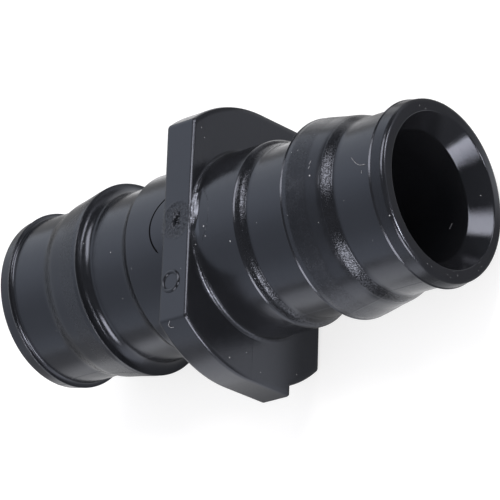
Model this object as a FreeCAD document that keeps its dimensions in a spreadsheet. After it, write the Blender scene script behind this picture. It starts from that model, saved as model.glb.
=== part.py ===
import FreeCAD, Part
import os

import Sketcher

V = FreeCAD.Vector

# Moulded plastic coupling that joins two lengths of expanded tube, in millimetres.
# The common axis of the two spigots is X, and the part lies on the lower of the flange's
# two flats, so the flat with the gate faces +Z. The origin is on the axis, at the middle.
doc = FreeCAD.newDocument("tube_coupling")
sheet = doc.addObject("Spreadsheet::Sheet", "Sizes")

SIZES = [
    # waterway
    ("overall_length", 62.96, "end face to end face"),
    ("bore_dia", 16.05, "straight waterway"),
    ("mouth_dia", 19.22, "waterway at the end face"),
    ("mouth_flare_length", 2.82, "length of the flare inside each mouth"),
    # spigot, measured inwards from its end face
    ("neck_dia", 21.66, "plain shank between the ribs"),
    ("lip_dia", 22.90, "end lip at its sharp back edge"),
    ("lip_front_dia", 22.19, "end lip where its taper meets the end face"),
    ("lip_width", 1.78, "end face to the lip's back edge"),
    ("lip_nose_chamfer", 0.35, "broken corner of the lip at the end face"),
    ("barb_edge_setback", 14.75, "end face to the barb's back edge"),
    ("barb_crest_dia", 24.80, "barb at its crest"),
    ("barb_crest_land", 0.80, "straight land behind the barb's taper"),
    ("barb_taper_length", 2.57, "steeper second stage of the taper, up to the land"),
    ("barb_taper_dia", 23.60, "barb where the two stages of its taper meet"),
    ("barb_lead_length", 2.00, "gentle first stage of the taper, behind the ramp"),
    ("barb_nose_dia", 22.96, "barb where ramp and taper meet"),
    ("barb_ramp_length", 1.50, "steep ramp at the front of the barb"),
    ("barb_root_radius", 1.35, "fillet behind the barb"),
    # hub
    ("hub_dia", 23.36, "thick middle section on both sides of the flange"),
    ("hub_length", 6.92, "flange face to the top of the hub's ramp"),
    ("hub_ramp_length", 1.06, "steep ramp at the hub's end"),
    ("hub_root_radius", 0.50, "fillet between hub and flange"),
    # flange
    ("flange_thickness", 4.43, "stop flange"),
    ("flange_dia", 35.16, "round part of the flange, and the width over its ears"),
    ("flange_across_flats", 24.16, "upper flat to lower flat"),
    ("ear_drop", 6.90, "straight ear below the parting plane"),
    ("flange_edge_chamfer", 0.18, "broken rim of the flange"),
    # gate
    ("gate_recess_dia", 3.80, "round recess around the gate"),
    ("gate_recess_depth", 0.20, "recess below the upper flat"),
]

for row, (alias, value, meaning) in enumerate(SIZES, start=1):
    sheet.set("A%d" % row, alias)
    sheet.set("B%d" % row, str(value))
    sheet.set("C%d" % row, meaning)
    sheet.setAlias("B%d" % row, alias)
doc.recompute()


def size(alias):
    return float(getattr(sheet, alias))


def plane(body, role):
    return next(f for f in body.Origin.OriginFeatures if f.Role == role)


def new_sketch(body, name, role):
    sketch = body.newObject("Sketcher::SketchObject", name)
    sketch.AttachmentSupport = [(plane(body, role), "")]
    sketch.MapMode = "FlatFace"
    return sketch


def number(terms):
    return sum(factor * size(alias) for factor, alias in terms)


def formula(terms):
    return " + ".join("%g * Sizes.%s" % term for term in terms)


def pin(sketch, item, point, place):
    """Hold one point of a sketch at (x, y) from the sketch's origin, bound to the sheet."""
    for kind, terms, axis in (("DistanceX", place[0], -2), ("DistanceY", place[1], -1)):
        if terms:
            index = sketch.addConstraint(
                Sketcher.Constraint(kind, -1, 1, item, point, number(terms)))
            sketch.setExpression("Constraints[%d]" % index, formula(terms))
        else:
            sketch.addConstraint(Sketcher.Constraint("PointOnObject", item, point, axis))


def start_point(x, y):
    return V(number(x), number(y), 0)


def outline(sketch, corners):
    """Closed outline. A corner is (x, y) or (x, y, fillet size), with x and y as sums of
    (factor, size). A fillet joins a level side and an upright one."""
    count = len(corners)
    stops = []
    for i, corner in enumerate(corners):
        x, y = corner[:2]
        if len(corner) == 2:
            stops.append([(x, y)])
            continue
        here = start_point(x, y)
        poles = []
        for other, shares in ((corners[i - 1], (1.0, 0.45)), (corners[(i + 1) % count], (0.45, 1.0))):
            away = start_point(*other[:2]) - here
            for share in shares:
                if abs(away.x) > abs(away.y):
                    step = share if away.x > 0 else -share
                    poles.append((x + [(step, corner[2])], y))
                else:
                    step = share if away.y > 0 else -share
                    poles.append((x, y + [(step, corner[2])]))
        stops.append(poles)

    for i, stop in enumerate(stops):
        if len(stop) > 1:
            curve = Part.BSplineCurve([start_point(*p) for p in stop], None, None, False, 3, None, False)
            spline = sketch.addGeometry(curve, False)
            sketch.exposeInternalGeometry(spline)
            circles = [g for g in range(spline + 1, sketch.GeometryCount)
                       if isinstance(sketch.Geometry[g], Part.Circle)]
            for circle, pole in zip(circles, stop):
                pin(sketch, circle, 3, pole)
        start, end = stop[-1], stops[(i + 1) % count][0]
        side = sketch.addGeometry(Part.LineSegment(start_point(*start), start_point(*end)), False)
        pin(sketch, side, 1, start)
        pin(sketch, side, 2, end)


def half(alias, sign=1):
    return [(0.5 * sign, alias)]


def full(alias, sign=1):
    return [(1.0 * sign, alias)]


body = doc.addObject("PartDesign::Body", "CouplingBody")
body.Label = "coupling_body"

# Stop flange: a round disc, then the straight ears that widen it below the parting plane.
disc_sketch = new_sketch(body, "FlangeDiscSketch", "YZ_Plane")
disc_sketch.addGeometry(Part.Circle(V(0, 0, 0), V(0, 0, 1), size("flange_dia") / 2), False)
disc_sketch.addConstraint(Sketcher.Constraint("Coincident", 0, 3, -1, 1))
radius = disc_sketch.addConstraint(Sketcher.Constraint("Radius", 0, size("flange_dia") / 2))
disc_sketch.setExpression("Constraints[%d]" % radius, "Sizes.flange_dia / 2")
disc = body.newObject("PartDesign::Pad", "FlangeDisc")
disc.Profile = disc_sketch
disc.SideType = "Symmetric"
disc.setExpression("Length", "Sizes.flange_thickness")

ear_sketch = new_sketch(body, "FlangeEarSketch", "YZ_Plane")
outline(ear_sketch, [
    (half("flange_dia", -1), []),
    (half("flange_dia", -1), full("ear_drop", -1)),
    (half("flange_dia"), full("ear_drop", -1)),
    (half("flange_dia"), []),
])
ears = body.newObject("PartDesign::Pad", "FlangeEars")
ears.Profile = ear_sketch
ears.SideType = "Symmetric"
ears.setExpression("Length", "Sizes.flange_thickness")

# One spigot with its half of the hub, turned about the axis.
END = half("overall_length")
LIP_BACK = END + full("lip_width", -1)
BARB_EDGE = END + full("barb_edge_setback", -1)
LAND_START = BARB_EDGE + full("barb_crest_land")
TAPER_BREAK = LAND_START + full("barb_taper_length")
LEAD_START = TAPER_BREAK + full("barb_lead_length")
BARB_FRONT = LEAD_START + full("barb_ramp_length")
FLANGE_FACE = half("flange_thickness")
HUB_TOP = FLANGE_FACE + full("hub_length")
HUB_FOOT = HUB_TOP + full("hub_ramp_length")

spigot_sketch = new_sketch(body, "SpigotSketch", "XY_Plane")
outline(spigot_sketch, [
    ([], []),
    (END, []),
    (END, half("lip_front_dia")),
    (LIP_BACK, half("lip_dia")),
    (LIP_BACK, half("neck_dia")),
    (BARB_FRONT, half("neck_dia")),
    (LEAD_START, half("barb_nose_dia")),
    (TAPER_BREAK, half("barb_taper_dia")),
    (LAND_START, half("barb_crest_dia")),
    (BARB_EDGE, half("barb_crest_dia")),
    (BARB_EDGE, half("neck_dia"), "barb_root_radius"),
    (HUB_FOOT, half("neck_dia")),
    (HUB_TOP, half("hub_dia")),
    ([], half("hub_dia")),
])
spigot = body.newObject("PartDesign::Revolution", "Spigot")
spigot.Profile = spigot_sketch
spigot.ReferenceAxis = (spigot_sketch, ["H_Axis"])
spigot.Angle = 360

# Waterway of that half, with the flare inside its mouth.
bore_sketch = new_sketch(body, "WaterwaySketch", "XY_Plane")
outline(bore_sketch, [
    ([], []),
    (END, []),
    (END, half("mouth_dia")),
    (END + full("mouth_flare_length", -1), half("bore_dia")),
    ([], half("bore_dia")),
])
doc.recompute()
solid_volume = body.Shape.Volume
bore = body.newObject("PartDesign::Groove", "Waterway")
bore.Profile = bore_sketch
bore.ReferenceAxis = (bore_sketch, ["H_Axis"])
bore.Angle = 360
doc.recompute()
assert body.Shape.Volume < solid_volume, "the waterway cut nothing"

# The other spigot is its mirror image through the flange.
mirror = body.newObject("PartDesign::Mirrored", "OtherSpigot")
mirror.Originals = [spigot, bore]
mirror.MirrorPlane = (plane(body, "YZ_Plane"), [""])
body.Tip = mirror
doc.recompute()


def ring_edges(shape, stations):
    """Names of the full circles about the axis at the given (x, radius) stations."""
    names = []
    for number, edge in enumerate(shape.Edges, start=1):
        curve = edge.Curve
        if not isinstance(curve, Part.Circle) or abs(abs(curve.Axis.x) - 1) > 1e-6:
            continue
        for x, r in stations:
            if abs(abs(curve.Center.x) - x) < 1e-4 and abs(curve.Radius - r) < 1e-4:
                names.append("Edge%d" % number)
    return names


def dress_edges(kind, name, base, edges, measure, alias):
    """Chamfer or fillet of the named edges, with its measure bound to the sheet."""
    feature = body.newObject("PartDesign::" + kind, name)
    feature.Base = (base, edges)
    feature.setExpression(measure, "Sizes." + alias)
    doc.recompute()
    return feature


face_x = number(half("flange_thickness"))

# Fillets between the hub and both faces of the flange.
hub_root = dress_edges("Fillet", "HubRoot", mirror, ring_edges(
    mirror.Shape, [(face_x, size("hub_dia") / 2)]), "Radius", "hub_root_radius")

# The two flats, cut across the flange and the fillets beside it.
flat_sketch = new_sketch(body, "FlatSketch", "YZ_Plane")
outline(flat_sketch, [
    (half("flange_dia", -1), half("flange_across_flats")),
    (half("flange_dia"), half("flange_across_flats")),
    (half("flange_dia"), half("flange_dia")),
    (half("flange_dia", -1), half("flange_dia")),
])
before = body.Shape.Volume
upper_flat = body.newObject("PartDesign::Pocket", "UpperFlat")
upper_flat.Profile = flat_sketch
upper_flat.SideType = "Symmetric"
upper_flat.setExpression("Length", "Sizes.flange_thickness + 2 * Sizes.hub_root_radius")
doc.recompute()
lower_flat = body.newObject("PartDesign::Mirrored", "LowerFlat")
lower_flat.Originals = [upper_flat]
lower_flat.MirrorPlane = (plane(body, "XY_Plane"), [""])
body.Tip = lower_flat
doc.recompute()
assert body.Shape.Volume < before, "the flats cut nothing"


def rim_edges(shape):
    """Names of the flange's face edges that lie outside the hub fillet and off the flats."""
    flat_z = size("flange_across_flats") / 2
    hub_r = size("hub_dia") / 2 + size("hub_root_radius")
    names = []
    for number, edge in enumerate(shape.Edges, start=1):
        ends = [v.Point for v in edge.Vertexes]
        middle = edge.valueAt((edge.FirstParameter + edge.LastParameter) / 2)
        points = ends + [middle]
        if any(abs(abs(p.x) - face_x) > 1e-4 for p in points):
            continue
        if (middle.y ** 2 + middle.z ** 2) ** 0.5 < hub_r + 0.01:
            continue
        if abs(abs(middle.z) - flat_z) < 1e-4:
            continue
        names.append("Edge%d" % number)
    return names


rim = dress_edges("Chamfer", "FlangeRim", lower_flat, rim_edges(lower_flat.Shape),
                  "Size", "flange_edge_chamfer")
nose = dress_edges("Chamfer", "LipNose", rim, ring_edges(
    rim.Shape, [(number(END), number(half("lip_front_dia")))]), "Size", "lip_nose_chamfer")

# Shallow round recess around the gate, in the middle of the upper flat.
gate_sketch = new_sketch(body, "GateSketch", "XY_Plane")
gate_sketch.addGeometry(Part.Circle(V(0, 0, 0), V(0, 0, 1), size("gate_recess_dia") / 2), False)
gate_sketch.addConstraint(Sketcher.Constraint("Coincident", 0, 3, -1, 1))
radius = gate_sketch.addConstraint(Sketcher.Constraint("Radius", 0, size("gate_recess_dia") / 2))
gate_sketch.setExpression("Constraints[%d]" % radius, "Sizes.gate_recess_dia / 2")
gate_sketch.setExpression("AttachmentOffset.Base.z",
                          "Sizes.flange_across_flats / 2 - Sizes.gate_recess_depth")
before = body.Shape.Volume
gate = body.newObject("PartDesign::Pocket", "GateRecess")
gate.Profile = gate_sketch
gate.Reversed = True
gate.setExpression("Length", "Sizes.gate_recess_depth + Sizes.flange_edge_chamfer")
doc.recompute()
assert body.Shape.Volume < before, "the gate recess cut nothing"

doc.recompute()
for item in doc.Objects:
    bad = [s for s in item.State if s in ("Invalid", "Error")]
    assert not bad, "%s is %s" % (item.Label, bad)

os.makedirs("parts", exist_ok=True)
for part in (body,):
    assert not part.Shape.isNull() and part.Shape.isValid(), part.Label
    assert len(part.Shape.Solids) == 1, part.Label
    part.Shape.exportStep(os.path.join("parts", part.Label + ".step"))
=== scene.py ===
import math

import bpy
import numpy as np
from mathutils import Matrix, Vector


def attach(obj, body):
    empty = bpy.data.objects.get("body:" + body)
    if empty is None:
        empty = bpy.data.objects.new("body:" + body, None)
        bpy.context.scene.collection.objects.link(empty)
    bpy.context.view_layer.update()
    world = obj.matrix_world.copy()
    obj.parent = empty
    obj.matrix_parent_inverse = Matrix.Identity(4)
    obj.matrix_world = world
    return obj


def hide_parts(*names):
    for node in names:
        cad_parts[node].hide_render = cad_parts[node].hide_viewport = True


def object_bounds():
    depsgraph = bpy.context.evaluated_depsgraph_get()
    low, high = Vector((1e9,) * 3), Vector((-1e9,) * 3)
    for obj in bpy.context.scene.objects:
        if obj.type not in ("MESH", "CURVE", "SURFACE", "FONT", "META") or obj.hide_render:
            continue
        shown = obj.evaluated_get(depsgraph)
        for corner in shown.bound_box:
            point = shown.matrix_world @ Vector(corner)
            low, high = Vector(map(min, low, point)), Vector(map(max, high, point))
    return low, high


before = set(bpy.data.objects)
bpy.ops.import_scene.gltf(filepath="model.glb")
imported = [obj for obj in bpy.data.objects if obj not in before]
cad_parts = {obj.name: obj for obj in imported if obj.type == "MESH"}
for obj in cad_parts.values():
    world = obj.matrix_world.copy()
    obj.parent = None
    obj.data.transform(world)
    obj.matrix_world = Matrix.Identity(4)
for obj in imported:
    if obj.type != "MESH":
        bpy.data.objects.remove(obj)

cad_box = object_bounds()

# A black plastic tube coupling on a white floor, dressed on the frame of its solid

# Units, in metres and radians
MM = 0.001
DEG = math.pi / 180

# Sizes of the moulding in millimetres. The overall length and the width come from the frame. The
# lip's back edge and the hub's ramp lie where the photo shows them, up to 0.36 mm from the solid's.
# The other sizes are the solid's own.
HALF_LENGTH = round(cad_box[1][0] / MM, 3)
FLANGE_R = round(cad_box[1][1] / MM, 3)
FLANGE_THICK = 4.43
FLAT_Z = 12.08
EAR_DROP = 6.90

# Radii
BORE_R = 8.025
MOUTH_R = 9.61
LIP_FRONT_R = 11.095
LIP_R = 11.45
NECK_R = 10.83
RAMP_TOP_R = 11.48
BREAK_R = 11.80
BARB_R = 12.40
HUB_BREAK_R = 11.14
HUB_R = 11.68

# Lengths: from the end face inwards, from the barb's edge outwards, from the flange outwards
FLARE_LENGTH = 2.82
LIP_WIDTH = 2.10
BARB_SETBACK = 14.75
LAND_LENGTH = 0.80
TAPER_LENGTH = 2.57
LEAD_LENGTH = 2.00
RAMP_LENGTH = 1.50
HUB_LENGTH = 6.565
HUB_STEEP_LENGTH = 0.65
HUB_EASY_LENGTH = 0.67

# Places along the axis. The end faces stand back a little, which leaves room for flat dust on them.
SPECK_THICK = 0.002
END = HALF_LENGTH - SPECK_THICK
FLARE_X = HALF_LENGTH - FLARE_LENGTH
LIP_X = HALF_LENGTH - LIP_WIDTH
BARB_X = HALF_LENGTH - BARB_SETBACK
LAND_X = BARB_X + LAND_LENGTH
BREAK_X = LAND_X + TAPER_LENGTH
RAMP_TOP_X = BREAK_X + LEAD_LENGTH
RAMP_FOOT_X = RAMP_TOP_X + RAMP_LENGTH
FACE_X = FLANGE_THICK / 2
HUB_TOP_X = FACE_X + HUB_LENGTH
HUB_BREAK_X = HUB_TOP_X + HUB_STEEP_LENGTH
HUB_FOOT_X = HUB_BREAK_X + HUB_EASY_LENGTH

# Fine raised edges on the lip, the barb and the hub: their height, the crest's distance from the
# back, the fall from the crest to the back, and the roundings of crest and back
FLASH = 0.110
EDGE_LENGTH = 0.07
EDGE_FALL = 0.06
EDGE_ROUND = 0.03
BACK_ROUND = 0.04

# The fillet between hub and flange
HUB_ROOT = 0.50

# Roundings of the profile, as the length that each takes from the sides of its corner
NOSE = 0.52
LIP_ROOT = 0.40
BARB_ROOT = 1.35
MOUTH_ROUND = 0.10
RAMP_FOOT_ROUND = 0.55
RAMP_TOP_ROUND = 0.60
BREAK_ROUND = 0.16
LAND_ROUND = 0.14
HUB_FOOT_ROUND = 0.50
HUB_BREAK_ROUND = 0.12
HUB_EDGE_ROUND = 0.05

# The parting line starts on the end face, this far outside the mouth. It stands up on the spigots
# and on the flange's faces, and is sunk in the rim.
PARTING_START = 0.3
PARTING_ON_SPIGOT = 0.030
PARTING_ON_FLANGE = 0.018
PARTING_IN_RIM = 0.020

# The camera, fitted to the circles of both spigots in the photo. The picture's side and the focal
# length are in picture points, and the sensor is in millimetres.
EYE = Vector((0.25428, -0.14881, 0.27606))
RIGHT = Vector((0.7459, 0.0348, -0.6651))
UP = Vector((0.2211, 0.9290, 0.2967))
BACK = Vector((0.6282, -0.3684, 0.6853))
PICTURE = 500
FOCAL = 3291.44
SENSOR = 36.0
SHIFT = (-0.001, 0.001)
CLIP = (0.01, 20.0)

# The part rests on the crests of its barbs.
FLOOR_Z = -BARB_R * MM


# Helpers

def smooth(start, stop, value):
    """A soft step from 0 at start to 1 at stop."""
    t = np.clip((np.asarray(value, float) - start) / (stop - start), 0, 1)
    return t * t * (3 - 2 * t)


def ripple(x, y, seed, scale):
    """Smooth repeatable unevenness between about -1 and 1."""
    waves = 6
    rng = np.random.RandomState(seed)
    total = np.zeros_like(np.asarray(x, float))
    for _ in range(waves):
        direction, phase = rng.uniform(0, 2 * math.pi, 2)
        pitch = scale * rng.uniform(0.6, 1.8)
        total += np.sin(pitch * (np.cos(direction) * x + np.sin(direction) * y) + phase)
    return total / (waves / 2)


def add_object(name, data):
    thing = bpy.data.objects.new(name, data)
    bpy.context.scene.collection.objects.link(thing)
    return thing


def new_mesh(name, verts, faces, smooth_shade=True):
    mesh = bpy.data.meshes.new(name)
    mesh.from_pydata([tuple(v) for v in verts], [], faces)
    mesh.validate()
    mesh.update()
    if smooth_shade:
        mesh.polygons.foreach_set("use_smooth", [True] * len(mesh.polygons))
    return add_object(name, mesh)


def signed_volume(verts, faces):
    """Volume of a closed mesh of quads, which is negative when its faces look inwards."""
    a, b, c, d = (verts[np.array(faces)[:, k]] for k in range(4))
    return float((a * np.cross(b, c)).sum() + (a * np.cross(c, d)).sum()) / 6


# Profile of a spigot

def turned(corners):
    """Points of a profile: each corner is (x, r, reach of its rounding, segments)."""
    out = []
    for i, (x, r, reach, segments) in enumerate(corners):
        corner = np.array([x, r])
        if not reach:
            out.append(corner)
            continue
        u = corner - np.array(corners[i - 1][:2])
        v = np.array(corners[i + 1][:2]) - corner
        u, v = u / np.linalg.norm(u), v / np.linalg.norm(v)
        turn = math.atan2(u[0] * v[1] - u[1] * v[0], float(u @ v))
        radius = reach / math.tan(abs(turn) / 2)
        side = np.array([-u[1], u[0]]) * (1 if turn > 0 else -1)
        start = corner - u * reach
        for k in range(segments + 1):
            a = abs(turn) * k / segments
            out.append(start + radius * (u * math.sin(a) + side * (1 - math.cos(a))))
    return out


def with_supports(points, near=0.10, far=3.0):
    """Adds loops beside the roundings, so that long sides keep their shade."""
    out = [points[0]]
    for a, b in zip(points, points[1:]):
        length = float(np.linalg.norm(b - a))
        stops = []
        if length > 5 * near:
            inner = length - 2 * near
            middle = int(inner / far)
            stops = [near + inner * k / (middle + 1) for k in range(middle + 2)]
        for stop in stops:
            out.append(a + (b - a) * (stop / length))
        out.append(b)
    return out


def raised_edge(x, r):
    """Corners of the fine raised edge at the back of a lip or barb, from its front to its foot."""
    return [
        (x + EDGE_LENGTH + 2 * FLASH, r - FLASH, EDGE_ROUND, 2),
        (x + EDGE_LENGTH, r, EDGE_ROUND, 3),
        (x, r - EDGE_FALL, BACK_ROUND, 3),
    ]


def spigot_corners():
    """Corners from the middle of the bore, round the mouth and the barb, to the hub's root.

    The last ones are stations on the hub, for the small slope beside the gate.
    """
    slope_step, slope_steps = 0.15, 5
    return [
        (0.0, BORE_R, 0, 0),
        (FLARE_X, BORE_R, MOUTH_ROUND, 3),
        (END, MOUTH_R, MOUTH_ROUND, 4),
        (END, LIP_FRONT_R, NOSE, 7),
        *raised_edge(LIP_X, LIP_R),
        (LIP_X, NECK_R, LIP_ROOT, 5),
        (RAMP_FOOT_X, NECK_R, RAMP_FOOT_ROUND, 6),
        (RAMP_TOP_X, RAMP_TOP_R, RAMP_TOP_ROUND, 6),
        (BREAK_X, BREAK_R, BREAK_ROUND, 3),
        (LAND_X, BARB_R - FLASH, LAND_ROUND, 3),
        *raised_edge(BARB_X, BARB_R),
        (BARB_X, NECK_R, BARB_ROOT, 10),
        (HUB_FOOT_X, NECK_R, HUB_FOOT_ROUND, 7),
        (HUB_BREAK_X, HUB_BREAK_R, HUB_BREAK_ROUND, 4),
        (HUB_TOP_X + 2 * FLASH, HUB_R - FLASH, HUB_EDGE_ROUND, 3),
        (HUB_TOP_X, HUB_R, HUB_EDGE_ROUND, 3),
        *((FACE_X + HUB_ROOT + slope_step * k, HUB_R, 0, 0) for k in range(slope_steps, -1, -1)),
    ]


# Outline of the flange

HALF_FLAT = math.sqrt(FLANGE_R ** 2 - FLAT_Z ** 2)
FLAT_CORNER = math.atan2(FLAT_Z, HALF_FLAT)
EAR_CORNER = -math.atan2(EAR_DROP, FLANGE_R)
STEP_BACK = -math.asin(EAR_DROP / FLANGE_R)


def flange_reach(phi):
    """Distance from the axis to the flange's outline, at an angle from +Y towards +Z."""
    tiny = 1e-9
    c, s = math.cos(phi), math.sin(phi)
    if abs(s) > tiny and abs(FLAT_Z / s * c) <= HALF_FLAT + tiny:
        return FLAT_Z / abs(s)
    if s < 0 and abs(FLANGE_R / c * s) <= EAR_DROP + tiny:
        return FLANGE_R / abs(c)
    if s < 0 and EAR_DROP / abs(s) > FLANGE_R:
        return EAR_DROP / abs(s)
    return FLANGE_R


# Kinds of column: how much is cut off a sharp corner, and whether the parting line runs along it
PLAIN = (0, 0)
CORNER = (0.06, 0)
PARTING = (0, 1)


def column_angles():
    """Angles of the shell's columns with their kinds, in order round the axis.

    Columns lie close across the gate, wider over the rest of the upper flat and evenly round the
    rest. The columns of corners and of the parting line have neighbours, at angles in degrees.
    """
    gate_step, gate_columns = 0.11, 31
    flat_step, flat_columns = 0.55, 16
    round_step, round_columns = 2.0 * DEG, 180
    corner_neighbours = (0.30, 0.75)
    parting_neighbours = (0.27, 0.60)
    least_gap = 0.50 * DEG
    same_angle = 0.02 * DEG
    whole = 2 * math.pi

    columns = {}
    for k in range(-gate_columns, gate_columns + 1):
        columns[math.atan2(FLAT_Z, -gate_step * k)] = PLAIN
    for k in range(1, flat_columns + 1):
        y = gate_step * gate_columns + flat_step * k
        for side in (1, -1):
            columns[math.atan2(FLAT_Z, side * y)] = PLAIN

    corners = []
    for angle in (FLAT_CORNER, -FLAT_CORNER, EAR_CORNER, STEP_BACK):
        corners += [angle, math.pi - angle]
    for special, kind, neighbours in ((corners, CORNER, corner_neighbours),
                                      ((0.0, math.pi), PARTING, parting_neighbours)):
        for angle in special:
            columns[angle] = kind
            for step in neighbours:
                columns[angle + step * DEG] = columns[angle - step * DEG] = PLAIN

    taken = [angle % whole for angle in columns]
    for k in range(round_columns):
        angle = round_step * k
        gap = min(min(abs(angle - t), whole - abs(angle - t)) for t in taken)
        if gap > least_gap and not FLAT_CORNER < angle < math.pi - FLAT_CORNER:
            columns[angle] = PLAIN

    ordered = []
    for angle, kind in sorted((a % whole, kind) for a, kind in columns.items()):
        if not ordered or angle - ordered[-1][0] > same_angle:
            ordered.append((angle, kind))
    return ordered


# Stations of a column on the flange: along the hub's root, the face, the rounded edge and the rim
N_ROOT = 10
N_FACE = 9
N_EDGE = 4
N_RIM = 18


def flange_path(phi, cut):
    """From the end of the hub to the middle of the rim, in the plane of one column."""
    edge = 0.36
    edge_drop = 0.17
    edge_fullness = 0.8
    face_room = 0.6
    root_share = 0.45
    reach = flange_reach(phi) - cut
    full = FACE_X + HUB_ROOT, HUB_R + HUB_ROOT
    bend = math.pi / 2 if reach >= full[1] else math.acos((full[1] - reach) / HUB_ROOT)
    arc = HUB_ROOT * bend
    total = arc + max(0.0, reach - full[1])

    def at(s):
        if s <= arc:
            a = s / HUB_ROOT
            return np.array([full[0] - HUB_ROOT * math.sin(a), full[1] - HUB_ROOT * math.cos(a)])
        return np.array([FACE_X, full[1] + s - arc])

    last = total - edge_drop
    split = arc - root_share * max(0.0, face_room - (last - arc))
    out = [at(split * k / N_ROOT) for k in range(1, N_ROOT + 1)]
    out += [at(split + (last - split) * k / N_FACE) for k in range(1, N_FACE + 1)]
    start, tip = out[-1], at(total)
    inside = tip - np.array([edge, 0])
    for k in range(1, N_EDGE + 1):
        t = k / N_EDGE
        bulge = edge_fullness * t * (1 - t) * (tip - (start + inside) / 2)
        out.append((1 - t) * start + t * inside + bulge)
    for k in range(1, N_RIM + 1):
        out.append(np.array([inside[0] * (1 - k / N_RIM), inside[1]]))
    return out


# The moulded shell

def raise_parting_line(spigot, wing):
    """Lifts one column by the height of the parting line, and sinks it in the rim."""
    mouth = next(i for i, p in enumerate(spigot) if p[1] > MOUTH_R + PARTING_START)
    for p in spigot[mouth:]:
        p[1] += PARTING_ON_SPIGOT
    for p in wing[:N_ROOT]:
        p += PARTING_ON_FLANGE
    for p in wing[N_ROOT:N_ROOT + N_FACE - 1]:
        p[0] += PARTING_ON_FLANGE
    for p in wing[N_ROOT + N_FACE + N_EDGE - 1:]:
        p[1] -= PARTING_IN_RIM


def shell_grid():
    """Points of the shell in millimetres, as columns round the axis and stations along it."""
    profile = with_supports(turned(spigot_corners()))
    columns = []
    for phi, (cut, parting) in column_angles():
        spigot = [p.copy() for p in profile]
        wing = flange_path(phi, cut)
        if parting:
            raise_parting_line(spigot, wing)
        near = spigot + wing
        far = [np.array([-p[0], p[1]]) for p in reversed(near[1:-1])]
        columns.append([(x, r * math.cos(phi), r * math.sin(phi)) for x, r in near + far])
    return np.array(columns)


# Unevenness of the forms round the gate: seed, and how closely its waves follow each other
SLOPE_END_RIPPLE = (61, 4.0)
SLOPE_RIPPLE = (62, 5.0)
GATE_EDGE_RIPPLE = (5, 3.0)
PIT_RIPPLE = (11, 5.0)
TORN_RIPPLE = (21, 9.0)
SCRATCH_RIPPLE = (41, 2.0)
PEBBLE_RIPPLE = (31, 14.0)


def fill_beside_gate(grid):
    """Beside the gate the root of the hub is filled up to the flat by a small slope."""
    longest = 1.00
    shortest = 0.03
    unevenness = 0.012
    ragged = 0.3
    growing_y = (-3.2, 0.8)
    ending_y = (2.9, 3.5)
    half_width = 4.2
    face_side = 0.08
    hub_side = 3.4
    touching = 0.01
    tiny = 1e-6
    x, y, z = (grid[..., k].copy() for k in range(3))
    radius = np.hypot(y, z)
    share = smooth(*growing_y, y) * (1 - smooth(*ending_y, y + ragged * ripple(x, y, *SLOPE_END_RIPPLE)))
    length = shortest + longest * share
    slope = HUB_R + (FLAT_Z - HUB_R) * np.clip(1 - (x - FACE_X - face_side) / length, 0, 1)
    rise = np.maximum(0, slope + unevenness * ripple(x, y, *SLOPE_RIPPLE) - radius)
    rise *= (x > FACE_X - tiny) & (x < hub_side) & (z > 0) & (np.abs(y) < half_width)
    rise *= radius > HUB_R - touching
    grid[..., 1] += rise * y / radius
    grid[..., 2] += rise * z / radius


def gate_pit(x, y):
    """Depth of the pit in the gate, longer along y than along x, with torn ground and a shard in it."""
    pit_depth = 0.55
    wall = (0.25, 0.62)
    ragged = 0.16
    narrow, shift_x = 1.05, 0.12
    long, shift_y = 0.56, 0.10
    torn_height = 0.10
    torn_edge = (0.55, 0.95)
    shard_height = 0.50
    shard_thin, shard_x = 0.13, 0.12
    shard_long, shard_y = 0.42, -0.25
    lean_x, lean_y = 0.9, 0.35
    inner = np.hypot(narrow * x + shift_x, long * (y - shift_y))
    pit = pit_depth * (1 - smooth(*wall, inner + ragged * ripple(x, y, *PIT_RIPPLE)))
    torn = torn_height * ripple(x, y, *TORN_RIPPLE) * (1 - smooth(*torn_edge, inner))
    across = (lean_x * x - lean_y * y - shard_x) / shard_thin
    along = (y - shard_y) / shard_long
    return pit - torn - shard_height * np.exp(-across ** 2 - along ** 2)


def mark_gate(grid):
    """The gate: a shallow round patch with a torn stub in its pit, in the middle of the upper flat."""
    gate_r, gate_y = 2.05, -0.05
    unevenness = 0.12
    dish_depth = 0.085
    dish_edge = (-0.1, 0.45)
    scratches = 19
    scratch_height = 0.014
    scratch_bend = 3
    scratch_start = (0.7, 1.2)
    scratch_end = (0.1, 0.6)
    pebble_height = 0.026
    pebble_end = (0, 0.4)
    near_flat = (FLAT_Z - 0.53, FLAT_Z - 0.13)
    x, y, z = (grid[..., k].copy() for k in range(3))
    turn = np.arctan2(y, x)
    top = smooth(*near_flat, z) * (np.hypot(x, y) < 2 * gate_r)
    rho = np.hypot(x, y - gate_y)
    past = rho - gate_r - unevenness * ripple(turn, turn * 0, *GATE_EDGE_RIPPLE)
    dish = dish_depth * (1 - smooth(*dish_edge, past))

    # Scratches run out from the pit, and the whole patch is pebbled.
    scratch = scratch_height * np.sin(scratches * turn + scratch_bend * ripple(x, y, *SCRATCH_RIPPLE))
    scratch *= smooth(*scratch_start, rho) * (1 - smooth(*scratch_end, past))
    pebble = pebble_height * ripple(x, y, *PEBBLE_RIPPLE) * (1 - smooth(*pebble_end, past))
    grid[..., 2] -= top * (dish + gate_pit(x, y) - scratch - pebble)


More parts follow.
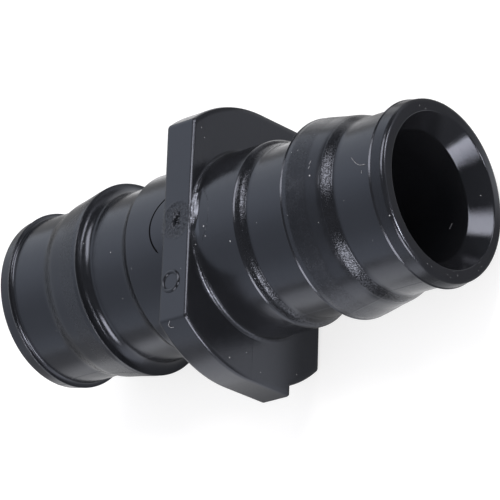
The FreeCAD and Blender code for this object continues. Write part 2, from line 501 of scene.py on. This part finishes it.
def build_shell():
    grid = shell_grid()
    fill_beside_gate(grid)
    mark_gate(grid)
    columns, stations = grid.shape[:2]
    verts = grid.reshape(-1, 3) * MM
    faces = []
    for i in range(columns):
        a, b = i * stations, ((i + 1) % columns) * stations
        for j in range(stations):
            k = (j + 1) % stations
            faces.append((a + j, b + j, b + k, a + k))
    moulding = new_mesh("coupling_shell", verts, faces)
    if signed_volume(verts, faces) < 0:
        moulding.data.flip_normals()
    weighted = moulding.modifiers.new("weighted", "WEIGHTED_NORMAL")
    weighted.mode = "FACE_AREA"
    weighted.weight = 60
    return moulding


shell = build_shell()
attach(shell, "root")
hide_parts("coupling_body")


# Small moulded marks, in millimetres and degrees

RING_X = -0.46
RING_Y = -7.80
RING_R = 1.22
RING_WIDE = 0.24
RING_HIGH = 0.20
INSERT_R = 4.80
INSERT_HIGH = 0.018

# The insert's two arcs: first and last angle, and half the line's width
LEFT_ARC = (122, 222, 0.125)
RIGHT_ARC = (-48, 44, 0.035)


def surface_z(x, y):
    """Height of the moulded surface above a point, on the flat or on the hub beside it."""
    past_face = abs(x) - FACE_X
    if past_face > HUB_ROOT:
        return math.sqrt(max(0.0, HUB_R ** 2 - y * y))
    if past_face <= 0:
        return FLAT_Z
    r = HUB_R + HUB_ROOT - math.sqrt(HUB_ROOT ** 2 - (HUB_ROOT - past_face) ** 2)
    return min(FLAT_Z, math.sqrt(max(0.0, r * r - y * y)))


def bead(name, line, normals, wide, high, closed, sides=8):
    """A rounded bead along a line on the surface, in millimetres, given by half its width and height."""
    thin_end, taper = 0.25, 4
    points, n = [Vector(p) for p in line], len(line)
    verts, faces = [], []
    for i, p in enumerate(points):
        a = points[(i - 1) % n] if closed or i else p
        b = points[(i + 1) % n] if closed or i < n - 1 else p
        up = Vector(normals[i]).normalized()
        side = (b - a).normalized().cross(up).normalized()
        full = 1.0 if closed else min(1.0, thin_end + min(i, n - 1 - i) / taper)
        for k in range(sides):
            t = 2 * math.pi * k / sides
            verts.append((p + side * (wide * full * math.cos(t)) + up * (high * full * math.sin(t))) * MM)
    for i in range(n if closed else n - 1):
        a, b = i * sides, ((i + 1) % n) * sides
        for k in range(sides):
            m = (k + 1) % sides
            faces.append((a + k, a + m, b + m, b + k))
    if not closed:
        faces.append(tuple(range(sides))[::-1])
        faces.append(tuple((n - 1) * sides + k for k in range(sides)))
    return new_mesh(name, verts, faces)


def ring_mark(points=72, sides=12):
    """A plain ring on the upper flat, where the photo shows a round mark."""
    turns = [2 * math.pi * k / points for k in range(points)]
    line = [(RING_X + RING_R * math.cos(a), RING_Y + RING_R * math.sin(a), FLAT_Z) for a in turns]
    return bead("moulded_ring_mark", line, [(0, 0, 1)] * points, RING_WIDE, RING_HIGH, True, sides)


def insert_line(name, first, last, wide, points=61):
    """The edge of the mould's gate insert, as an arc. Near the flat it leans a little to the side."""
    lean_x, lean_r = 0.5, 12.0
    line, up = [], []
    for k in range(points):
        a = (first + (last - first) * k / (points - 1)) * DEG
        x, y = INSERT_R * math.cos(a), INSERT_R * math.sin(a)
        z = surface_z(x, y)
        line.append((x, y, z))
        on_hub = abs(x) > FACE_X + HUB_ROOT
        up.append((0, y, z) if on_hub else (math.copysign(lean_x, x), y / lean_r, 1))
    return bead(name, line, up, wide, INSERT_HIGH, False)


mark = ring_mark()
witness = insert_line("gate_insert_line_left", *LEFT_ARC)
witness_far = insert_line("gate_insert_line_right", *RIGHT_ARC)
for piece in (mark, witness, witness_far):
    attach(piece, "root")


# Lint and dust, at the points of the picture where the photo shows them

LINT_ON_NECK = [(351, 157.4), (353, 160), (355, 162.4), (358, 164.4), (361, 165), (365, 163.6)]
LINT_ON_RIM = [(169.3, 320.5), (168, 323.2), (168.6, 325.6), (171, 327), (173.2, 326.6)]
LINT_NEAR_LIP = [(361.2, 170), (361, 173)]
LONG_LINT_ON_BARB = [(310.5, 160.5), (308.6, 163.8)]
SHORT_LINT_ON_BARB = [(309.3, 165.6), (307.6, 168.4)]
LINT_IN_BORE = [(448.8, 228.6), (450.2, 226.2), (451.6, 223.0)]

# Each fibre's line in the picture, and half its thickness in millimetres
FIBRES = [
    (LINT_ON_NECK, 0.042),
    (LINT_ON_RIM, 0.045),
    (LINT_NEAR_LIP, 0.035),
    (LONG_LINT_ON_BARB, 0.040),
    (SHORT_LINT_ON_BARB, 0.040),
    (LINT_IN_BORE, 0.030),
]

# Each speck's point in the picture, and its radius in millimetres
LARGE_SPECKS = [
    (389, 215, 0.085), (309, 175, 0.10), (203, 225.6, 0.095), (204.8, 235.4, 0.075),
    (110, 252, 0.08), (83, 243, 0.06), (229.6, 240.6, 0.105), (229, 357, 0.085),
    (201, 127, 0.07), (204, 137, 0.06), (195, 244, 0.07),
]
SMALL_SPECKS = [
    (291, 152, 0.05), (297, 150, 0.045), (122, 298, 0.05), (256, 222, 0.045), (343, 200, 0.05),
    (480, 195, 0.06), (260, 372, 0.05), (246, 352, 0.05), (296, 374, 0.06), (180, 268, 0.035),
    (56, 330, 0.05), (131, 268, 0.045), (372, 240, 0.045), (318, 222, 0.04), (287, 215, 0.04),
]
END_FACE_SPECKS = [
    (427, 263, 0.05), (431, 266, 0.04), (447, 274, 0.05), (450, 277, 0.045), (453, 271, 0.04),
    (457, 275, 0.05), (479, 262, 0.04), (481, 266, 0.05), (478, 270, 0.04), (425, 108, 0.05),
    (419, 105, 0.04),
]


def on_surface(px, py):
    """Where the line of sight through a point of the picture meets the shell, in millimetres."""
    across, down = px - PICTURE / 2, py - PICTURE / 2
    ray = (RIGHT * across - UP * down) / FOCAL - BACK
    hit, place, normal, _ = shell.ray_cast(EYE, ray.normalized())
    assert hit, (px, py)
    return Vector(place) / MM, Vector(normal)


def lint_fibre(name, points, thick):
    """A round thread. Its ends rest on the surface, and any points between them lift off it."""
    low, high = 0.7, 1.6
    curve = bpy.data.curves.new("lint_path", "CURVE")
    curve.dimensions = "3D"
    spline = curve.splines.new("NURBS")
    spline.points.add(len(points) - 1)
    for k, (px, py) in enumerate(points):
        place, normal = on_surface(px, py)
        lift = thick * (high if 0 < k < len(points) - 1 else low)
        spline.points[k].co = (*((place + normal * lift) * MM), 1)
    spline.use_endpoint_u = True
    spline.order_u = min(3, len(points))
    spline.resolution_u = 6
    curve.bevel_depth = thick * MM
    curve.bevel_resolution = 2
    curve.use_fill_caps = True
    path = bpy.data.objects.new("lint_path", curve)
    mesh = bpy.data.meshes.new_from_object(path)
    mesh.name = name
    bpy.data.objects.remove(path)
    return add_object(mesh.name, mesh)


def dust_specks(specks):
    """Low uneven crumbs of three rings each. Those on an end face are flat."""
    sides = 6
    jitter = 0.3
    sizes = (0.7, 1.2)
    facing_out = 0.99
    rings = ((1.0, -0.25), (0.95, 0.35), (0.5, 0.8))
    rng = np.random.RandomState(7)
    verts, faces = [], []
    for px, py, size in specks:
        place, normal = on_surface(px, py)
        side = normal.orthogonal().normalized()
        other = normal.cross(side)
        high = SPECK_THICK if normal.x > facing_out else size
        base = len(verts)
        for ring, lift in rings:
            for k in range(sides):
                a = 2 * math.pi * k / sides + rng.uniform(-jitter, jitter)
                r = size * ring * rng.uniform(*sizes)
                around = side * (r * math.cos(a)) + other * (r * math.sin(a))
                verts.append((place + around + normal * (high * lift)) * MM)
        for j in range(len(rings) - 1):
            low = base + sides * j
            for k in range(sides):
                m = (k + 1) % sides
                faces.append((low + k, low + m, low + sides + m, low + sides + k))
        top = base + sides * (len(rings) - 1)
        faces.append(tuple(top + k for k in range(sides)))
        faces.append(tuple(base + k for k in range(sides))[::-1])
    return new_mesh("dust_specks", verts, faces, False)


fibres = [lint_fibre("lint_fibre_%d" % n, *fibre) for n, fibre in enumerate(FIBRES)]
dust = dust_specks(LARGE_SPECKS + SMALL_SPECKS + END_FACE_SPECKS)
for piece in fibres + [dust]:
    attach(piece, "root")


# Materials

class Nodes:
    """A node tree, with short calls for the nodes that this script needs."""

    def __init__(self, owner):
        owner.use_nodes = True
        self.tree = owner.node_tree
        self.tree.nodes.clear()

    def add(self, kind, **settings):
        node = self.tree.nodes.new(kind)
        for key, value in settings.items():
            setattr(node, key, value)
        return node

    def put(self, socket, value):
        if hasattr(value, "is_output"):
            self.tree.links.new(value, socket)
        else:
            socket.default_value = value

    def filled(self, kind, values):
        """A node whose sockets are filled by name or by number."""
        node = self.add(kind)
        for key, value in values.items():
            self.put(node.inputs[key], value)
        return node

    def math(self, op, a, b=0.0, clamp=False):
        node = self.add("ShaderNodeMath", operation=op, use_clamp=clamp)
        self.put(node.inputs[0], a)
        self.put(node.inputs[1], b)
        return node.outputs[0]

    def plus(self, a, b):
        return self.math("ADD", a, b)

    def times(self, a, b):
        return self.math("MULTIPLY", a, b)

    def most(self, a, b):
        return self.math("MAXIMUM", a, b)

    def length(self, a, b):
        return self.math("SQRT", self.plus(self.times(a, a), self.times(b, b)))

    def span(self, value, start, stop, low=0.0, high=1.0):
        """A soft step from low at start to high at stop."""
        node = self.add("ShaderNodeMapRange", interpolation_type="SMOOTHSTEP")
        for i, item in enumerate((value, start, stop, low, high)):
            self.put(node.inputs[i], item)
        return node.outputs[0]

    def below(self, value, start, stop):
        """1 below start and 0 above stop."""
        return self.span(value, start, stop, 1.0, 0.0)

    def window(self, value, start, stop, soft):
        """1 between start and stop, with soft edges."""
        return self.times(self.span(value, start - soft, start + soft),
                          self.below(value, stop - soft, stop + soft))

    def vector(self, op, a, b=None, scale=None):
        node = self.add("ShaderNodeVectorMath", operation=op)
        self.put(node.inputs[0], a)
        if b is not None:
            self.put(node.inputs[1], b)
        if scale is not None:
            self.put(node.inputs["Scale"], scale)
        return node

    def place(self):
        """The place on the object, in metres."""
        return self.add("ShaderNodeTexCoord").outputs["Object"]

    def place_mm(self):
        """The same in millimetres."""
        return self.vector("SCALE", self.place(), scale=1 / MM).outputs[0]

    def split(self, vector):
        return self.filled("ShaderNodeSeparateXYZ", {0: vector}).outputs

    def noise(self, vector, scale, detail, rough, distortion=0.0):
        values = {"Vector": vector, "Scale": scale, "Detail": detail, "Roughness": rough}
        return self.filled("ShaderNodeTexNoise", values | {"Distortion": distortion}).outputs["Fac"]

    def mix_colour(self, factor, a, b):
        node = self.add("ShaderNodeMix", data_type="RGBA")
        self.put(node.inputs[0], factor)
        self.put(node.inputs[6], a)
        self.put(node.inputs[7], b)
        return node.outputs[2]

    def blend(self, factor, first, second):
        """A mix of two shaders: the first at 0 and the second at 1."""
        return self.filled("ShaderNodeMixShader", {0: factor, 1: first.outputs[0], 2: second.outputs[0]})

    def finish(self, shader, kind="ShaderNodeOutputMaterial"):
        self.put(self.add(kind).inputs[0], shader.outputs[0])


# The black plastic. Its noises: grains in a millimetre, detail, roughness and distortion
CLOUD = (0.22, 3.0, 0.55, 0.3)
HAZE = (1.3, 4.0, 0.6)
GRAIN = (7.0, 2.0, 0.6)
FINE_GRAIN = (16.0, 1.0, 0.5)
SPARK = (5.2, 2.0, 0.6, 0.3)
SPECK = (5.4, 1.0, 0.5, 0.2)
STREAK = (2.4, 3.0, 0.6)
STREAK_STRETCH = (0.35, 1.0, 1.0)

# Its colours and its answer to light
PLASTIC_DARK = (0.0082, 0.0088, 0.0104, 1)
PLASTIC_PALE = (0.0124, 0.0131, 0.0155, 1)
GATE_COLOUR = (0.014, 0.015, 0.018, 1)
GATE_PALENESS = 0.6
PLASTIC_IOR = 1.65
PLASTIC_TINT = (0.76, 0.82, 1.0, 1)
PLASTIC_SHEEN = 0.5
CLOUD_ROUGHNESS = (0.3, 0.7, 0.17, 0.22)
HAZE_ROUGHNESS = (0.35, 0.75, -0.02, 0.05)

# Relief of the plastic: the height of one unit in metres, and the share of each noise
RELIEF_UNIT = 0.000012
GRAIN_RELIEF = 0.5
FINE_GRAIN_RELIEF = 0.3
STREAK_RELIEF = 0.25

# Zones of the plastic in millimetres. A pair is the start and stop of a soft step, and a third
# number is the softness of both ends. X is along the axis, R is from it, RHO is from the gate.
OUTSIDE_R = (10.5, 10.8)
SPIGOT_RAMP_X = (RAMP_TOP_X + 0.06, RAMP_FOOT_X - 0.08, 0.08)
HUB_RAMP_X = (9.10, HUB_FOOT_X + 0.02, 0.08)
BAND_X = (17.2, BREAK_X, 0.25)
GATE_RHO = (2.2, 2.6)
GATE_X = (1.9, 2.15)
GATE_Z = (11.3, 11.8)
INNER_R = (9.3, 10.0)
FLARE_FACE_R = (9.55, 9.75)
FLARE_FACE_X = (28.3, 28.9)
ROOT_X = (2.26, 2.78, 0.05)
ROOT_R = (11.60, 12.25, 0.05)
SLOPE_X = (2.25, 3.3, 0.1)
SLOPE_Y = (-3.2, 3.4, 0.3)
SLOPE_Z = (11.3, 11.5)

# What each zone adds to the roughness and to the relief, and how specks change its sheen: the
# noise's value at the start and the stop of a soft step, and the sheen at both
ZONE_ROUGHNESS = {
    "ramps": -0.03,
    "band": 0.05,
    "gate": 0.16,
    "inner": -0.02,
    "slope": -0.05,
    "flare": -0.11,
}
ZONE_RELIEF = {"ramps": 2.4, "band": 0.7, "gate": 5.0, "root": 2.6}
ZONE_SHEEN = {
    "ramps": (0.38, 0.64, -0.36, 0.12),
    "band": (0.40, 0.60, -0.10, 0.06),
    "gate": (0.40, 0.60, -0.20, 0.10),
    "root": (0.40, 0.60, -0.20, 0.35),
}
SLOPE_SHEEN = 0.35


def plastic_zones(nodes, mm):
    """Masks of the zones where the surface differs, each 1 inside and 0 outside."""
    x, y, z = nodes.split(mm)
    along = nodes.math("ABSOLUTE", x)
    radius = nodes.length(y, z)
    outside = nodes.span(radius, *OUTSIDE_R)
    ramps = nodes.plus(nodes.window(along, *SPIGOT_RAMP_X), nodes.window(along, *HUB_RAMP_X))
    gate = nodes.times(nodes.below(nodes.length(x, y), *GATE_RHO), nodes.span(z, *GATE_Z))
    slope = nodes.times(nodes.window(x, *SLOPE_X), nodes.span(z, *SLOPE_Z))
    return {
        "ramps": nodes.times(outside, ramps),
        "band": nodes.times(outside, nodes.window(along, *BAND_X)),
        "gate": nodes.times(gate, nodes.below(along, *GATE_X)),
        "inner": nodes.below(radius, *INNER_R),
        "flare": nodes.times(nodes.below(radius, *FLARE_FACE_R), nodes.span(along, *FLARE_FACE_X)),
        "root": nodes.times(nodes.window(along, *ROOT_X), nodes.window(radius, *ROOT_R)),
        "slope": nodes.times(slope, nodes.window(y, *SLOPE_Y)),
    }


def plastic_roughness(nodes, mm, zones, cloud):
    haze = nodes.noise(mm, *HAZE)
    rough = nodes.plus(nodes.span(cloud, *CLOUD_ROUGHNESS), nodes.span(haze, *HAZE_ROUGHNESS))
    for zone, amount in ZONE_ROUGHNESS.items():
        rough = nodes.plus(rough, nodes.times(zones[zone], amount))
    return rough


def plastic_relief(nodes, mm, zones):
    """The normal that fine grain, streaks along the axis and coarse grain in some zones give."""
    streak_place = nodes.vector("MULTIPLY", mm, STREAK_STRETCH).outputs[0]
    height = nodes.plus(nodes.times(nodes.noise(mm, *GRAIN), GRAIN_RELIEF),
                        nodes.times(nodes.noise(mm, *FINE_GRAIN), FINE_GRAIN_RELIEF))
    spark = nodes.noise(mm, *SPARK)
    for zone, amount in ZONE_RELIEF.items():
        height = nodes.plus(height, nodes.times(zones[zone], nodes.times(spark, amount)))
    height = nodes.plus(height, nodes.times(nodes.noise(streak_place, *STREAK), STREAK_RELIEF))
    values = {"Strength": 1.0, "Distance": RELIEF_UNIT, "Height": height}
    return nodes.filled("ShaderNodeBump", values).outputs[0]


def plastic_sheen(nodes, mm, zones):
    """How strongly the surface reflects: in the rough zones some grains glint and others are dull."""
    speck = nodes.noise(mm, *SPECK)
    sheen = nodes.times(zones["slope"], SLOPE_SHEEN)
    for zone, steps in ZONE_SHEEN.items():
        sheen = nodes.plus(sheen, nodes.times(zones[zone], nodes.span(speck, *steps)))
    return nodes.plus(sheen, PLASTIC_SHEEN)


def moulded_black(name):
    material = bpy.data.materials.new(name)
    nodes = Nodes(material)
    mm = nodes.place_mm()
    zones = plastic_zones(nodes, mm)
    cloud = nodes.noise(mm, *CLOUD)
    colour = nodes.mix_colour(cloud, PLASTIC_DARK, PLASTIC_PALE)
    colour = nodes.mix_colour(nodes.times(zones["gate"], GATE_PALENESS), colour, GATE_COLOUR)
    nodes.finish(nodes.filled("ShaderNodeBsdfPrincipled", {
        "Base Color": colour,
        "Roughness": plastic_roughness(nodes, mm, zones, cloud),
        "IOR": PLASTIC_IOR,
        "Specular IOR Level": plastic_sheen(nodes, mm, zones),
        "Specular Tint": PLASTIC_TINT,
        "Normal": plastic_relief(nodes, mm, zones),
    }))
    return material


# Plain finishes: two colours, roughness, index of refraction and grains in a millimetre. The first is
# painted shade: a near black matt line standing in for the shade in the fine groove at the insert's edge
GROOVE_PAINTED_SHADE = ((0.002, 0.002, 0.003, 1), (0.005, 0.005, 0.006, 1), 0.85, 1.15, 4.0)
LINT = ((0.14, 0.145, 0.165, 1), (0.26, 0.26, 0.28, 1), 0.9, 1.4, 6.0)
PALE_DUST = ((0.30, 0.31, 0.34, 1), (0.48, 0.48, 0.50, 1), 0.9, 1.4, 8.0)

# Their spots: detail and roughness of the noise, the noise's values where colour and roughness
# begin and stop to change, and how much the roughness changes
SPOT_NOISE = (3.0, 0.6)
SPOT_COLOUR = (0.35, 0.65)
SPOT_ROUGHNESS = (0.3, 0.7)
SPOT_ROUGHNESS_CHANGE = 0.1


def plain_finish(name, dark, pale, roughness, ior, grains):
    """A rough finish with a little unevenness, for the painted shade of a fine groove, lint and dust."""
    material = bpy.data.materials.new(name)
    nodes = Nodes(material)
    spots = nodes.noise(nodes.place_mm(), grains, *SPOT_NOISE)
    smoothest = roughness - SPOT_ROUGHNESS_CHANGE
    nodes.finish(nodes.filled("ShaderNodeBsdfPrincipled", {
        "Base Color": nodes.mix_colour(nodes.span(spots, *SPOT_COLOUR), dark, pale),
        "Roughness": nodes.span(spots, *SPOT_ROUGHNESS, smoothest, roughness),
        "IOR": ior,
    }))
    return material


def dress(pieces, material):
    for piece in pieces:
        piece.data.materials.clear()
        piece.data.materials.append(material)


dress([shell, mark, witness_far], moulded_black("moulded_black"))
# Painted shade: the left insert line is near black and matt, in place of the shade in a fine groove
dress([witness], plain_finish("painted_groove_shade", *GROOVE_PAINTED_SHADE))
dress(fibres, plain_finish("lint", *LINT))
dress([dust], plain_finish("pale_dust", *PALE_DUST))


# Stage: a white floor, with a glow that only the camera and reflections see

FLOOR_HALF = 3.0
PAPER_COLOUR = (0.50, 0.50, 0.50, 1)
PAPER_GLOW = 0.66
WHITE = (1, 1, 1, 1)


def seen_directly(nodes):
    """1 for rays of the camera and of reflections, 0 for rays that only spread light."""
    rays = nodes.add("ShaderNodeLightPath").outputs
    seen = nodes.plus(rays["Is Camera Ray"], rays["Is Glossy Ray"])
    return nodes.math("ADD", seen, rays["Is Transmission Ray"], True)


def white_paper():
    material = bpy.data.materials.new("white_paper")
    nodes = Nodes(material)
    matt = nodes.filled("ShaderNodeBsdfDiffuse", {"Color": PAPER_COLOUR})
    strength = nodes.times(seen_directly(nodes), PAPER_GLOW)
    glow = nodes.filled("ShaderNodeEmission", {"Color": WHITE, "Strength": strength})
    nodes.finish(nodes.filled("ShaderNodeAddShader", {0: matt.outputs[0], 1: glow.outputs[0]}))
    return material


def build_floor():
    corners = [(x * FLOOR_HALF, y * FLOOR_HALF, FLOOR_Z) for x, y in ((-1, -1), (1, -1), (1, 1), (-1, 1))]
    sheet = new_mesh("floor", corners, [(0, 1, 2, 3)])
    sheet.data.materials.append(white_paper())
    return sheet


# Stage: a dark curtain round the set and a dark card on the floor, which only reflections see. Both paint
# darkness into reflections, and the card also paints the part's shadow on the floor.

# The curtain paints dark reflections, tinted a little blue where it lets them through. Its soft steps
# along x, y or z of a
# direction: start, stop and the light let through at both. The leak is what its closed part lets through.
CURTAIN_R = 4.0
CURTAIN_TINT = (0.90, 0.94, 1.0, 1)
CURTAIN_LEAK = 0.07
OPEN_SIDE_X = (-0.45, -0.24)
OPEN_BELOW_X = (-0.50, -0.16)
OPEN_BELOW_Z = (0.30, 0.50)
FAR_FADE_Y = (-0.35, 0.50, 0.50, 1.0)
NEAR_FADE_Y = (-0.90, -0.55, 0.90, 0.50)
FAR_LIMIT_X = (-0.86, -0.70, 0.62, 1.0)

# The card paints shade into the floor that reflections see: the part's shadow under and behind it, and
# darker floor further off.
# Its soft steps along x, y, the distance from the middle or the azimuth, in metres and radians: start,
# stop and the darkness at both
CARD_R = 1.5
CARD_LIFT = 0.0002
# Painted shadow behind the part: the card's inner edge is darker on the +Y side
INNER_DARK_Y = (0.004, 0.014, 0.12, 0.55)
OUTER_DARK_DISTANCE = (0.070, 0.110, 0.86, 0.70)
EDGE_SHIFT_Y = (-0.005, 0.010, 0.0, 0.010)
INNER_EDGE = (0.026, 0.034)
FIRST_AZIMUTH = (-1.30, -1.00)
LAST_AZIMUTH = (1.50, 1.72)
FAR_END_X = (-0.060, -0.030, 0.70, 0.0)
NEAR_SIDE_Y = (-0.030, 0.0)
NEAR_SIDE_DISTANCE = (0.018, 0.20)
NEAR_SIDE_AZIMUTH = (-2.2, -1.7, 0.50, 0.93)
BEHIND_Y = (0.030, 0.055, 0.0, 0.42)
# Painted shadow of the part on the floor beneath it, as reflections see it
UNDER_X = (0.005, 0.0115, 0.75, 0.0)
UNDER_FADE_X = (-0.045, -0.010, 0.40, 1.0)
UNDER_Y = (0.018, 0.030)


def black_veil(name, tint, darkness):
    """A material that lets light through except where darkness(nodes) says 1."""
    material = bpy.data.materials.new(name)
    nodes = Nodes(material)
    clear = nodes.filled("ShaderNodeBsdfTransparent", {"Color": tint})
    dark = nodes.filled("ShaderNodeEmission", {"Strength": 0.0})
    nodes.finish(nodes.blend(darkness(nodes), clear, dark))
    return material


def painted_reflection_darkness(nodes):
    """Painted dark reflections: the curtain is open towards -X, and wider there near the floor."""
    way = nodes.vector("NORMALIZE", nodes.place()).outputs[0]
    x, y, z = nodes.split(way)
    wide_below = nodes.times(nodes.below(x, *OPEN_BELOW_X), nodes.below(z, *OPEN_BELOW_Z))
    opening = nodes.most(nodes.below(x, *OPEN_SIDE_X), wide_below)
    fade = nodes.most(nodes.span(y, *FAR_FADE_Y), nodes.span(y, *NEAR_FADE_Y))
    level = nodes.most(nodes.times(opening, fade), CURTAIN_LEAK)
    level = nodes.math("MINIMUM", level, nodes.span(x, *FAR_LIMIT_X))
    return nodes.math("SUBTRACT", 1.0, level)


def painted_floor_shade(nodes):
    """The card paints shade into the floor that the part reflects: the part's shadow under and behind it,
    and darker floor further off, most of all on the side of the open mouth.
    """
    place = nodes.place()
    x, y, _ = nodes.split(place)
    azimuth = nodes.math("ARCTAN2", y, x)
    distance = nodes.vector("LENGTH", place).outputs["Value"]

    inner = nodes.span(y, *INNER_DARK_Y)
    outer = nodes.span(distance, *OUTER_DARK_DISTANCE)
    shifted = nodes.math("SUBTRACT", distance, nodes.span(y, *EDGE_SHIFT_Y))
    mouth = nodes.span(shifted, *INNER_EDGE, inner, outer)
    mouth = nodes.times(mouth, nodes.span(azimuth, *FIRST_AZIMUTH))
    mouth = nodes.times(mouth, nodes.below(azimuth, *LAST_AZIMUTH))

    darkest = nodes.span(azimuth, *NEAR_SIDE_AZIMUTH)
    near_side = nodes.times(nodes.below(y, *NEAR_SIDE_Y),
                            nodes.span(distance, *NEAR_SIDE_DISTANCE, 0.0, darkest))
    # Painted shadow of the part on the floor beneath it
    under = nodes.times(nodes.span(x, *UNDER_X), nodes.span(x, *UNDER_FADE_X))
    under = nodes.times(under, nodes.below(nodes.math("ABSOLUTE", y), *UNDER_Y))

    cover = mouth
    for patch in (nodes.span(x, *FAR_END_X), near_side, nodes.span(y, *BEHIND_Y), under):
        cover = nodes.most(cover, patch)
    return cover


def build_curtain(segments=48, rows=16):
    """A dome from just above the floor to straight overhead."""
    lowest = 1 * DEG
    highest = 90 * DEG
    verts, faces = [], []
    for j in range(rows + 1):
        e = lowest + (highest - lowest) * j / rows
        for i in range(segments):
            a = 2 * math.pi * i / segments
            out = CURTAIN_R * math.cos(e)
            verts.append((out * math.cos(a), out * math.sin(a), CURTAIN_R * math.sin(e) + FLOOR_Z))
    for j in range(rows):
        for i in range(segments):
            k = (i + 1) % segments
            low, high = j * segments, (j + 1) * segments
            faces.append((low + i, low + k, high + k, high + i))
    dome = new_mesh("curtain", verts, faces)
    dome.data.materials.append(black_veil("painted_dark_reflection_curtain", CURTAIN_TINT, painted_reflection_darkness))
    return dome


def build_card(segments=64):
    """A disc just above the floor, which paints shade into the floor's reflections."""
    height = FLOOR_Z + CARD_LIFT
    turns = [2 * math.pi * i / segments for i in range(segments)]
    verts = [(0.0, 0.0, height)] + [(CARD_R * math.cos(a), CARD_R * math.sin(a), height) for a in turns]
    faces = [(0, 1 + i, 1 + (i + 1) % segments) for i in range(segments)]
    disc = new_mesh("card", verts, faces, False)
    disc.data.materials.append(black_veil("painted_floor_shade_card", WHITE, painted_floor_shade))
    return disc


floor = build_floor()
curtain = build_curtain()
card = build_card()
# Only reflections see the curtain and the card: they paint darkness into reflections and cast no shadow
for veil in (curtain, card):
    veil.visible_camera = veil.visible_diffuse = veil.visible_transmission = False
    veil.visible_shadow = veil.visible_volume_scatter = False


# Light: four soft boxes and a bright room

LAMP_DISTANCE = 0.70
LAMP_COLOUR = (1.0, 0.955, 0.92)
ROOM_COLOUR = (0.93, 0.95, 1.0, 1)
ROOM_LIGHT = 0.62
BACKDROP_LIGHT = 1.0

# Each lamp's name, the way to it from the part, its width and height in metres, and its radiance
SOFTBOXES = [
    ("softbox_top", (0.20, 0.52, 0.83), 0.34, 0.50, 5.4),
    ("softbox_low", (0.20, -0.93, 0.28), 0.32, 0.42, 6.8),
    ("softbox_side", (0.84, 0.55, 0.11), 0.19, 0.16, 9.5),
    ("softbox_front", (0.92, -0.36, 0.09), 0.17, 0.17, 24.0),
]


def softbox(name, way, wide, high, radiance):
    way = Vector(way).normalized()
    lamp = bpy.data.lights.new(name, "AREA")
    lamp.shape = "RECTANGLE"
    lamp.size = wide
    lamp.size_y = high
    lamp.color = LAMP_COLOUR
    lamp.energy = radiance * math.pi * wide * high
    box = add_object(name, lamp)
    turn = way.to_track_quat("Z", "Y").to_matrix().to_4x4()
    box.matrix_world = Matrix.Translation(way * LAMP_DISTANCE) @ turn
    box.visible_camera = False


def light_room():
    """The room lights the part softly, and looks white to the camera and in reflections."""
    world = bpy.data.worlds.new("studio")
    bpy.context.scene.world = world
    nodes = Nodes(world)
    room = nodes.filled("ShaderNodeBackground", {"Color": ROOM_COLOUR, "Strength": ROOM_LIGHT})
    white = nodes.filled("ShaderNodeBackground", {"Color": WHITE, "Strength": BACKDROP_LIGHT})
    nodes.finish(nodes.blend(seen_directly(nodes), room, white), "ShaderNodeOutputWorld")


for settings in SOFTBOXES:
    softbox(*settings)
light_room()


# Camera, at the photo's place

def place_camera():
    lens = bpy.data.cameras.new("camera")
    lens.sensor_width = SENSOR
    lens.lens = round(FOCAL * SENSOR / PICTURE, 2)
    lens.shift_x, lens.shift_y = SHIFT
    lens.clip_start, lens.clip_end = CLIP
    camera = add_object("camera", lens)
    camera.matrix_world = Matrix.Translation(EYE) @ Matrix((RIGHT, UP, BACK)).transposed().to_4x4()
    bpy.context.scene.camera = camera


place_camera()
bpy.context.scene.view_settings.view_transform = "Standard"
